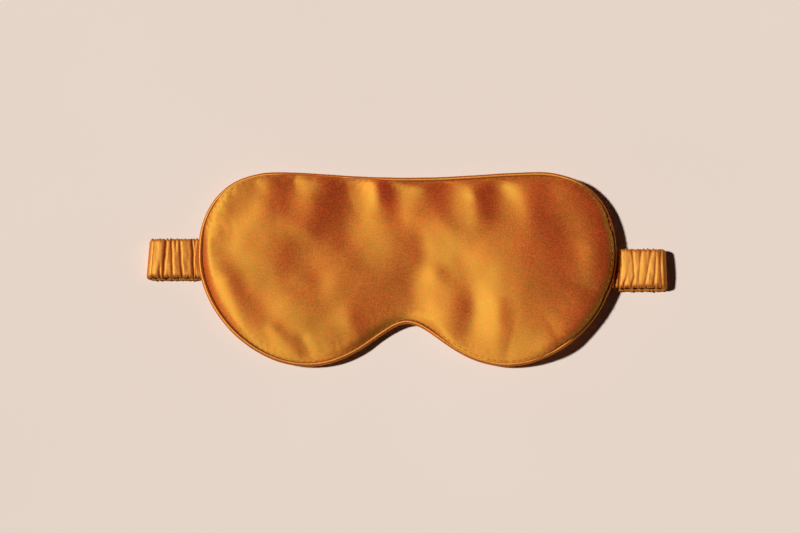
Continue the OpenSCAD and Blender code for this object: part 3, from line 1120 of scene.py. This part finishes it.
def make_band(name, start, end, half_w, half_t, pinched, ruche, wall, material):
    """A hollow or solid length of band between two lengths along the strap."""
    fine = 0.2 if abs(end - start) < 40 else 0.42
    count = max(2, int(abs(end - start) / fine) + 1)
    lengths = np.linspace(start, end, count)
    rings, painted_shade = band_points(lengths, half_w, half_t, pinched, ruche)
    rings = lean_tips(rings)
    around = rings.shape[1]
    points, faces = [rings.reshape(-1, 3)], grid_faces(count, around)
    if wall:
        middle = rings.mean(axis=1, keepdims=True)
        scale = np.array([1.0, 1 - wall / half_w, 1.0])
        inner = middle + (rings - middle) * scale
        thin = np.array([max(half_thickness(s, half_t, pinched), 0.1) for s in lengths])
        share = np.clip(1 - wall / thin, 0.35, 1)[:, None, None]
        flat = inner - middle
        flat[..., [0, 2]] *= share
        points.append((middle + flat).reshape(-1, 3))
        base = count * around
        faces += grid_faces(count, around, base, False, True)
        last = (count - 1) * around
        for k in range(around):
            n = (k + 1) % around
            faces.append((k, base + k, base + n, n))
            faces.append((last + n, base + last + n, base + last + k, last + k))
    else:
        faces += end_caps(count, around)
    piece = add_piece(name, np.vstack(points), [f[::-1] for f in faces], material)
    paint_shade(piece, np.tile(painted_shade.ravel(), len(points)))
    return piece


# Where the strap's lengths end near the seam, 3 mm on each side of it, in mm from the mask's middle
TURN_IN_X, TURN_OUT_X = SEAM_X - 3.0, SEAM_X + 3.0
CASING = dict(half_w=STRAP_HALF_W, half_t=STRAP_HALF_T - 0.05, pinched=FOLD_HALF_T, ruche=1, wall=0.35,
              material=STRAP_SATIN)
BAND = dict(half_w=ELASTIC_HALF_W, half_t=ELASTIC_HALF_T, pinched=0.12, ruche=0, wall=0, material=ELASTIC)


def make_strap(kind, style):
    """One layer of the strap, casing or elastic, in the lengths that its bodies and folds need."""
    # The casing starts where its end is rounded off, and the elastic further in
    root_x = ROOT_END_X + (0.02 if style["wall"] else 2.6)
    for side, word in WORD.items():
        start = lower_s(side, FOLD_CENTRE_X)
        lengths = {
            "out": (upper_s(side, root_x), upper_s(side, FOLD_CENTRE_X)),
            "fold": (upper_s(side, FOLD_CENTRE_X), start),
            "in": (start, lower_s(side, TURN_OUT_X)),
            "turn": (lower_s(side, TURN_OUT_X), lower_s(side, TURN_IN_X)),
        }
        pieces = {}
        for part, (a, b) in lengths.items():
            pieces[part] = make_band(f"{kind}_{word}_{part}", min(a, b), max(a, b), **style)

        def at(x, z):
            return side * x * MM, UPPER_Y[side] * MM, z * MM

        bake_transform(pieces["out"])
        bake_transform(pieces["fold"])
        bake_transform(pieces["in"])
        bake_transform(pieces["turn"])
        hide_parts(f"{kind}_{word}_root", f"{kind}_{word}_upper")
        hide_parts(f"{kind}_{word}_lower", f"{kind}_{word}_return")
    middle = make_band(f"{kind}_back_run", lower_s(-1, TURN_IN_X), lower_s(1, TURN_IN_X), **style)
    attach(middle, "strap_back")
    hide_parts(f"{kind}_back")


make_strap("casing", CASING)
make_strap("elastic", BAND)


def add_run(name, rings, flip, material):
    """A closed solid from a list of rings, moved with the mask's edge."""
    rings = np.array(rings)
    count, around = rings.shape[:2]
    faces = grid_faces(count, around) + end_caps(count, around)
    faces = [f[::-1] for f in faces] if flip else faces
    piece = add_piece(name, rings.reshape(-1, 3), faces, material)
    lay_down(piece)
    return piece


def make_sewn_end(side):
    """The elastic's end, caught between the turned-in edges and the back panel."""
    name = WORD[side]
    low, high = box_mm(f"{name}_sewn_end")
    y, z, half_t, count = (low[1] + high[1]) / 2, (low[2] + high[2]) / 2, 0.22, 12
    rings = []
    for x in np.linspace(low[0], high[0], count):
        ring = section((high[1] - low[1]) / 2, half_t, 16, 5)
        bend = 0.05 * math.sin(x * 2.1)
        rings.append(np.column_stack([np.full(len(ring), x), ring[:, 0] + y, ring[:, 1] + z + bend]))
    piece = add_run(f"{name}_elastic_end", rings, True, ELASTIC)
    on_mask(piece, f"{name}_sewn_end")


def make_collar(side):
    """A lip of casing that goes up into the seam, round the inner side of the strap's turning end."""
    name = WORD[side]
    wall, radius, count, steps = 0.3, STRAP_HALF_T + 0.12, 60, 12
    lip_in, lip_up = 1.6, 1.1
    rings = []
    for across in np.linspace(-STRAP_HALF_W - 0.2, STRAP_HALF_W + 0.2, count):
        ripple = 0.10 * noise.noise(Vector((across * 0.7, side * 3.0, 0)))
        arc = np.linspace(math.radians(80), math.radians(186), steps)
        outer = [(radius + wall + ripple, a) for a in arc]
        inner = [(radius + ripple * 0.3, a) for a in arc[::-1]]
        y = UPPER_Y[side] + across
        rings.append([
            (side * (SEAM_X + r * math.cos(a)), y, SEAM_TURN_Z + r * math.sin(a)) for r, a in outer + inner
        ])
    rings = np.array(rings)
    rings[:, [0, -1]] += (-lip_in * side, 0, lip_up)
    piece = add_run(f"{name}_seam_collar", rings, side < 0, STRAP_SATIN)
    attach(piece, "mask")


for side in (-1, 1):
    make_sewn_end(side)
    make_collar(side)

# ---------- floor, light and camera ----------


def make_floor():
    size = 3.0
    corners = [(-size, -size, 0), (size, -size, 0), (size, size, 0), (-size, size, 0)]
    material, tree, shader = principled("table")
    patches = noise_node(tree, 6)
    colour = colour_ramp(tree, patches, [(0.3, (0.780, 0.662, 0.580)), (0.7, (0.805, 0.688, 0.605))])
    tree.links.new(colour, shader.inputs["Base Color"])
    set_inputs(shader, {"Roughness": 0.9, "Specular IOR Level": 0.1})
    floor = add_piece("table", np.array(corners) / MM, [(0, 1, 2, 3)], material)


def make_key(azimuth, elevation, strength, angle):
    """Sunlight from the left, in degrees. Azimuth turns from -X towards +Y, and angle is the sun's width."""
    turn, rise = math.radians(azimuth), math.radians(elevation)
    towards = Vector((-math.cos(rise) * math.cos(turn), math.cos(rise) * math.sin(turn), math.sin(rise)))
    light = bpy.data.lights.new("key", "SUN")
    light.energy = strength
    light.angle = math.radians(angle)
    light.color = (1.0, 0.995, 0.985)
    lamp = bpy.data.objects.new("key", light)
    lamp.rotation_euler = towards.to_track_quat("Z", "Y").to_euler()
    bpy.context.scene.collection.objects.link(lamp)


def make_world():
    world = bpy.data.worlds.new("studio")
    world.use_nodes = True
    set_inputs(world.node_tree.nodes["Background"], {"Color": (1.0, 0.72, 0.80, 1), "Strength": 0.012})
    bpy.context.scene.world = world


def make_camera():
    """A long lens almost straight above, tilted a little from the nose side."""
    lens, sensor, width = 100.0, 36.0, 0.401
    aim, elevation = Vector((-3.66, 1.25, 6.0)) * MM, math.radians(84)
    data = bpy.data.cameras.new("camera")
    data.lens, data.sensor_width = lens, sensor
    data.clip_start, data.clip_end = 0.01, 20
    camera = bpy.data.objects.new("camera", data)
    bpy.context.scene.collection.objects.link(camera)
    back_off = Vector((0, -math.cos(elevation), math.sin(elevation)))
    camera.location = aim + back_off * (width * lens / sensor)
    camera.rotation_euler = (math.pi / 2 - elevation, 0, 0)
    bpy.context.scene.camera = camera


make_floor()
make_key(azimuth=7, elevation=51, strength=3.94, angle=5)
make_world()
make_camera()
bpy.context.scene.view_settings.view_transform = "Standard"
